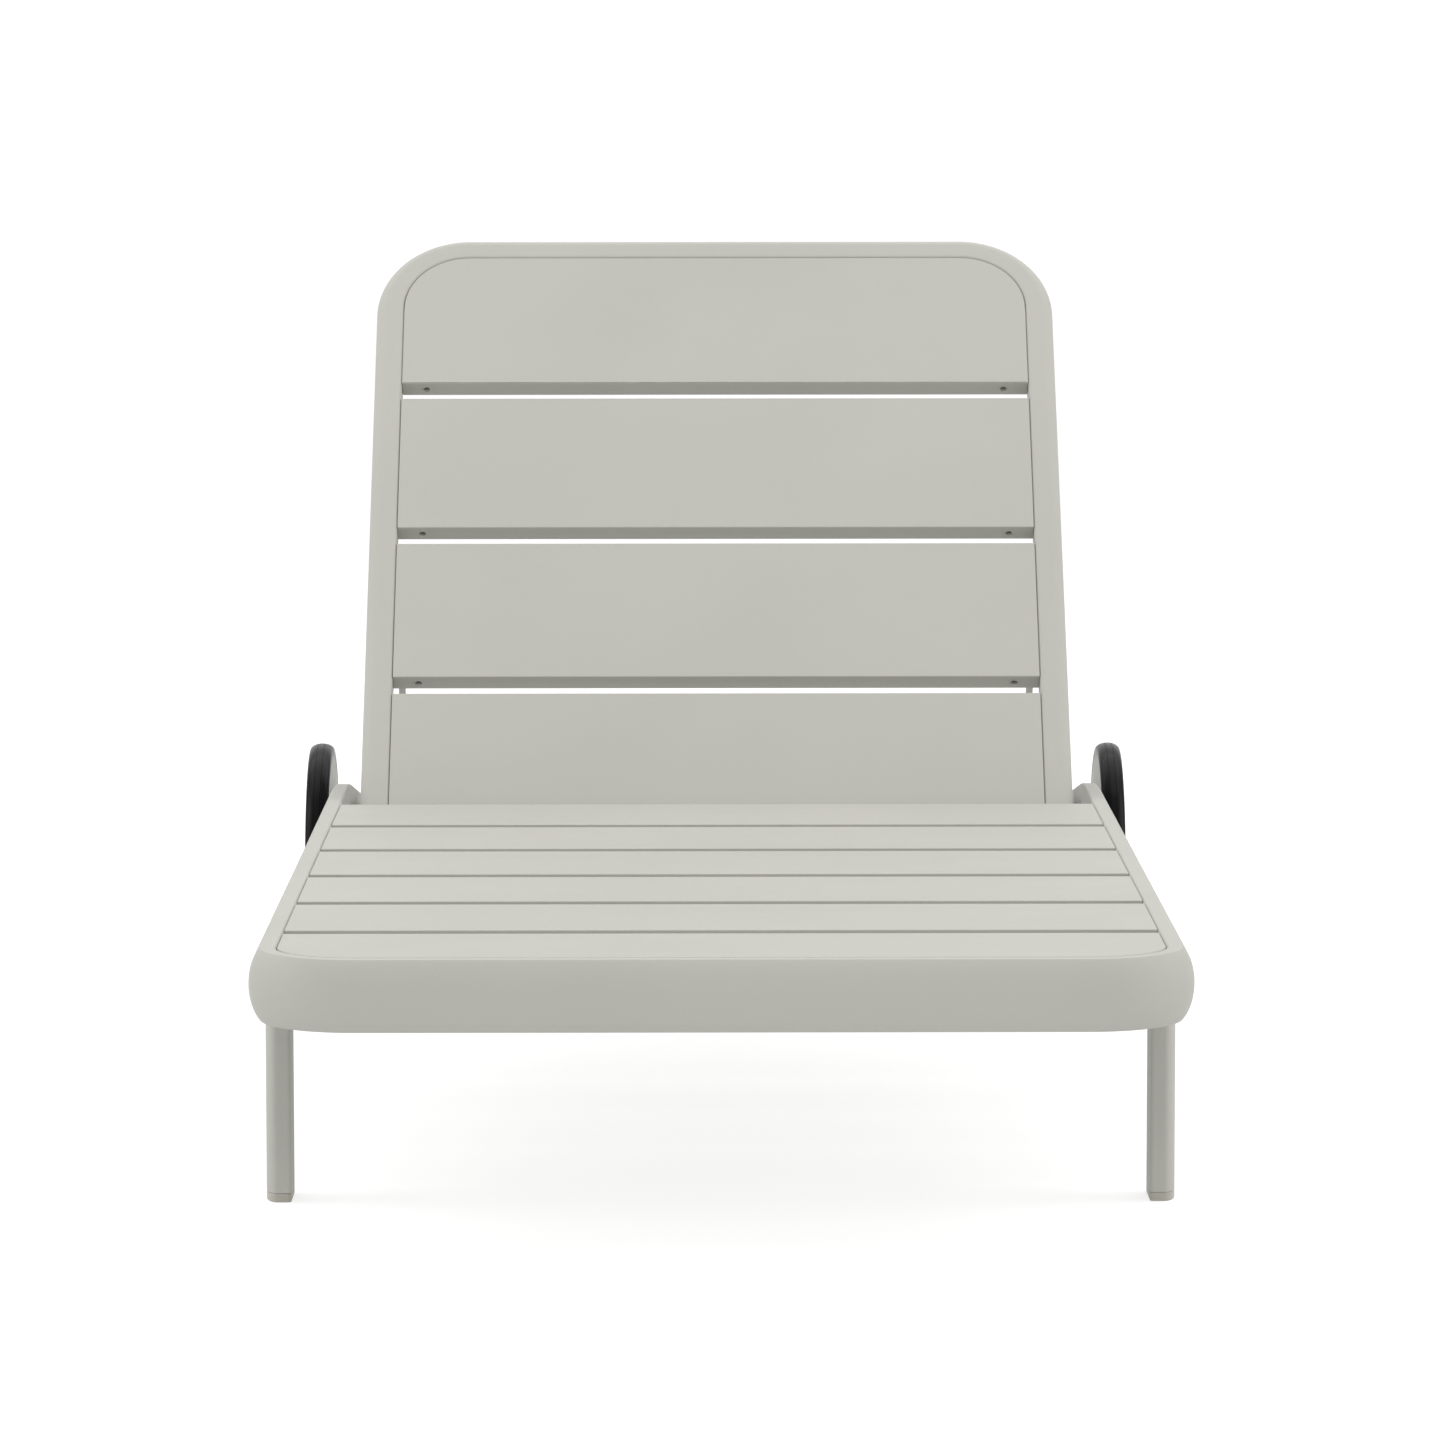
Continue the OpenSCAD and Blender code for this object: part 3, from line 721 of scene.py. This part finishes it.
def covers():
    """Dished outer covers of the wheels."""
    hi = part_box("right_wheel_cover")[1]
    r, x1 = hi.z - AXLE.z, hi.x
    thick, dish, flat_r, hub_r, dish_r = 0.0025, 0.004, 0.030, 0.022, 0.012
    loop = profile([(x1 - thick, r, 0.0004), (x1, r, 0.0008), (x1 - dish, flat_r, dish_r),
                    (x1 - dish, hub_r, 0.0006), (x1 - dish - thick, hub_r, 0.0004),
                    (x1 - dish - thick, flat_r, dish_r)], 6)
    wheel_pair("wheel_cover", loop)


def axle_caps():
    """Domed caps on the axle's ends."""
    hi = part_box("axle_caps")[1]
    r, x1 = hi.z - AXLE.z, hi.x
    x0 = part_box("right_tyre")[1].x + CLEAR
    shoulder, dome = 0.0018, 0.004
    loop = profile([(x0, 0, 0), (x0, r, 0.0006), (x1 - shoulder, r, 0.0010),
                    (x1, r - dome, 0.0022), (x1, 0, 0)], 5)
    for_node("axle_caps", both_sides(at_wheel(turned(loop, steps=64))))


# ---------------------------------------------------------------- welds

BEAD_R = 0.0013           # radius of a weld bead
BEAD_STEP = 0.0008        # between two points along a bead
RIPPLE = 0.12             # how much its scales swell and shrink it
BEAD_TIP = 3              # points over which an end swells to full size
STITCH = 0.040            # length of a stitch on a side plate
STITCHES = (0.185, 0.300, 0.420)   # where they start, along the plate from the hinge


def along(corners):
    """Evenly spaced points on a line through the corners."""
    out = []
    for a, b in zip(corners, corners[1:]):
        count = max(1, round((b - a).length / BEAD_STEP))
        out += [a.lerp(b, k / count) for k in range(count)]
    return out + [corners[-1]]


def ring_points(x, y, z, r):
    """Points round a circle about the X direction, the first repeated at the end."""
    count = round(2 * math.pi * r / BEAD_STEP)
    return [Vector((x, y + r * math.cos(2 * math.pi * k / count),
                    z + r * math.sin(2 * math.pi * k / count))) for k in range(count + 1)]


def bead(points):
    """A rippled round bead through the points, thin at both ends."""
    stations, last = [], len(points) - 1
    for k, p in enumerate(points):
        way = (points[min(k + 1, last)] - points[max(k - 1, 0)]).normalized()
        side = way.orthogonal().normalized() if k == 0 else (side - way * side.dot(way)).normalized()
        tip = math.sqrt(min(1, (min(k, last - k) + 0.5) / BEAD_TIP))
        inset = BEAD_R * (1 - tip * (1 - RIPPLE * (0.5 + 0.5 * math.cos(k * math.pi / 2))))
        stations.append((facing(p, side, way.cross(side)), inset))
    return loft([circle(BEAD_R, steps=10)], stations)


def leg_beads():
    """Round three sides of the leg, at the rail's underside."""
    lo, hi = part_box("right_front_leg")
    z, r = BAR_LO.z, INNER_R
    x0, x1 = lo.x, RAIL_IN + TUBE_FLAT
    return bead(along([Vector(p) for p in (
        (x1, lo.y, z), (x0 + r, lo.y, z), (x0 + r / 4, lo.y + r / 4, z), (x0, lo.y + r, z),
        (x0, hi.y - r, z), (x0 + r / 4, hi.y - r / 4, z), (x0 + r, hi.y, z), (x1, hi.y, z))]))


def cross_tube_beads():
    """Round three sides of the cross tube's end."""
    lo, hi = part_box("hinge_cross_tube")
    top = hi.z - 2 * BEAD_R
    return bead(along([Vector((hi.x, y, z)) for y, z in (
        (lo.y, top), (lo.y, lo.z), (hi.y, lo.z), (hi.y, top))]))


def plate_beads():
    """Three stitches between the side plate's upper edge and the rail."""
    down = Vector((0, math.cos(GUIDE_SLOPE), -math.sin(GUIDE_SLOPE)))
    up = Vector((0, -down.z, down.y))
    start = Vector((RAIL_IN, HINGE.y, HINGE.z)) + up * PLATE_HALF
    return join(*[bead(along([start + down * s, start + down * (s + STITCH)]))
                  for s in STITCHES])


def axle_tube_beads():
    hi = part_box("axle_tube")[1]
    return bead(ring_points(hi.x, AXLE.y, AXLE.z, hi.z - AXLE.z))


def stay_beads():
    """Where the foot rod passes through a stay arm."""
    arm_lo, arm_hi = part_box("right_stay_arm")
    lo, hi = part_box("stay_rod")
    y, z, r = (lo.y + hi.y) / 2, (lo.z + hi.z) / 2, (hi.z - lo.z) / 2
    return join(*[bead(ring_points(x, y, z, r)) for x in (arm_lo.x, arm_hi.x)])


def welds():
    slot = SLOT_OF["front_bar"]
    main = join(leg_beads(), cross_tube_beads(), plate_beads(), axle_tube_beads())
    piece("frame_welds", both_sides(main), MATERIALS[slot], MAIN)
    piece("stay_welds", both_sides(stay_beads()), MATERIALS[slot], "stay")


# ---------------------------------------------------------------- CAD nodes that stay

def refine(node, width):
    """Gives a CAD node rounded edges and its finish, and leaves its own mesh alone."""
    obj = frame["nodes"][node]
    obj.data.materials.clear()
    obj.data.materials.append(MATERIALS[SLOT_OF[node]])
    weld = obj.modifiers.new("weld", "WELD")
    weld.merge_threshold = SAME_PLACE
    bevel = obj.modifiers.new("bevel", "BEVEL")
    bevel.width = width
    bevel.segments = 3
    bevel.limit_method = "ANGLE"
    bevel.angle_limit = SHARP
    bevel.use_clamp_overlap = True
    even_shading(obj)


REFINED = {               # bevel widths
    "left_front_leg": 0.0003, "right_front_leg": 0.0003,
    "hinge_cross_tube": 0.0012, "left_side_plate": 0.0006, "right_side_plate": 0.0006,
    "left_back_stop": 0.0006, "right_back_stop": 0.0006, "stop_pads": 0.0003,
    "left_pivot_pin": 0.0004, "right_pivot_pin": 0.0004, "pivot_spacers": 0.0004,
    "pivot_nuts": 0.0004, "axle": 0.0006, "axle_tube": 0.0003, "axle_sleeves": 0.0002,
    "left_pivot_block": 0.0003, "right_pivot_block": 0.0003, "left_stay_lug": 0.0005,
    "right_stay_lug": 0.0005, "stay_pins": 0.0004, "left_stay_arm": 0.0008,
    "right_stay_arm": 0.0008, "stay_rod": 0.0006, "left_wheel_bush": 0.0003,
    "right_wheel_bush": 0.0003, "seat_slat_tabs": 0.0002, "back_slat_tabs": 0.0002,
}


# ---------------------------------------------------------------- light, floor, camera

ROOM, BACKDROP = 0.8, 1.1      # strength of the white all round, and behind the lounger
BACKDROP_EDGE = (0.6, 0.95)    # where one fades to the other, as the direction's Y
SOFT_BOXES = {            # place, point it faces, width, height, watts
    "overhead": ((0, 1.8, 4.5), (0, 0, 0.2), 7.0, 5.0, 168),
    "left_side": ((-3.5, -0.3, 2.2), (0, -0.3, 0.2), 2.5, 2.5, 60),
    "right_side": ((3.5, -0.3, 2.2), (0, -0.3, 0.2), 2.5, 2.5, 60),
    "front": ((0, -3.2, 1.8), (0, -0.85, 0.2), 3.0, 0.8, 24),
}
FLOOR_GLOW = 0.72         # the floor gives light, as in an over-exposed studio
FLOOR_TONE = 0.34
FLOOR_HALF = 40


def white_room():
    """White all round, and brighter behind the lounger, where the backdrop is."""
    world = bpy.data.worlds.new("white_room")
    world.use_nodes = True
    tree = world.node_tree
    background = tree.nodes["Background"]
    background.inputs["Color"].default_value = (1, 1, 1, 1)
    place = tree.nodes.new("ShaderNodeTexCoord")
    split = tree.nodes.new("ShaderNodeSeparateXYZ")
    level = tree.nodes.new("ShaderNodeMapRange")
    level.interpolation_type = "SMOOTHSTEP"
    for socket, number in zip(("From Min", "From Max", "To Min", "To Max"),
                              (*BACKDROP_EDGE, ROOM, BACKDROP)):
        level.inputs[socket].default_value = number
    tree.links.new(place.outputs["Generated"], split.inputs[0])
    tree.links.new(split.outputs["Y"], level.inputs["Value"])
    tree.links.new(level.outputs["Result"], background.inputs["Strength"])
    return world


def studio():
    scene = bpy.context.scene
    scene.view_settings.view_transform = "Standard"
    scene.world = white_room()
    for name, (place, target, width, height, watts) in SOFT_BOXES.items():
        soft_box(name, Vector(place), Vector(target), width, height, watts)


def soft_box(name, place, target, width, height, watts):
    light = bpy.data.lights.new(name, "AREA")
    light.shape, light.size, light.size_y = "RECTANGLE", width, height
    light.energy = watts
    obj = bpy.data.objects.new(name, light)
    turn = (target - place).to_track_quat("-Z", "Y")
    obj.matrix_world = Matrix.Translation(place) @ turn.to_matrix().to_4x4()
    bpy.context.scene.collection.objects.link(obj)


def floor():
    size = FLOOR_HALF
    mesh = bpy.data.meshes.new("floor")
    mesh.from_pydata([(-size, -size, 0), (size, -size, 0), (size, size, 0), (-size, size, 0)],
                     [], [(0, 1, 2, 3)])
    obj = bpy.data.objects.new("floor", mesh)
    bpy.context.scene.collection.objects.link(obj)
    n = Nodes("pale_floor")
    tone = n.ramp(n.noise(2.0, 3.0), 0.3, 0.7)
    n.finish(n.blend(tone, [FLOOR_TONE * 0.98] * 3, [FLOOR_TONE * 1.02] * 3),
             n.ramp(n.noise(5.0, 3.0), 0.3, 0.7, dark=0.7, light=0.8),
             n.bump(n.noise(300.0), distance=0.0002, strength=0.2),
             Emission_Color=(1, 1, 1, 1), Emission_Strength=FLOOR_GLOW, Specular_IOR_Level=0.1)
    mesh.materials.append(n.material)


SENSOR, LENS = 36, 166.46                    # millimetres
CAMERA_AT = (-0.0242, Y_END - 6.4898, 0.9988)
CAMERA_TURNS = (5.926, 0.263, -0.044)        # down, right and roll, in degrees


def camera():
    data = bpy.data.cameras.new("camera")
    data.sensor_width = SENSOR
    data.lens = LENS
    obj = bpy.data.objects.new("camera", data)
    down, right, roll = (math.radians(a) for a in CAMERA_TURNS)
    place = Matrix.Translation(CAMERA_AT)
    obj.matrix_world = (place @ Matrix.Rotation(-right, 4, "Z")
                        @ Matrix.Rotation(math.pi / 2 - down, 4, "X")
                        @ Matrix.Rotation(roll, 4, "Z"))
    bpy.context.scene.collection.objects.link(obj)
    bpy.context.scene.camera = obj


for build in (front_bar, rails, feet, seat_slats, back_frame, back_slats, tyres, discs, covers,
              axle_caps, welds):
    build()
for node_name, bevel_width in REFINED.items():
    refine(node_name, bevel_width)
for set_up in (studio, floor, camera):
    set_up()
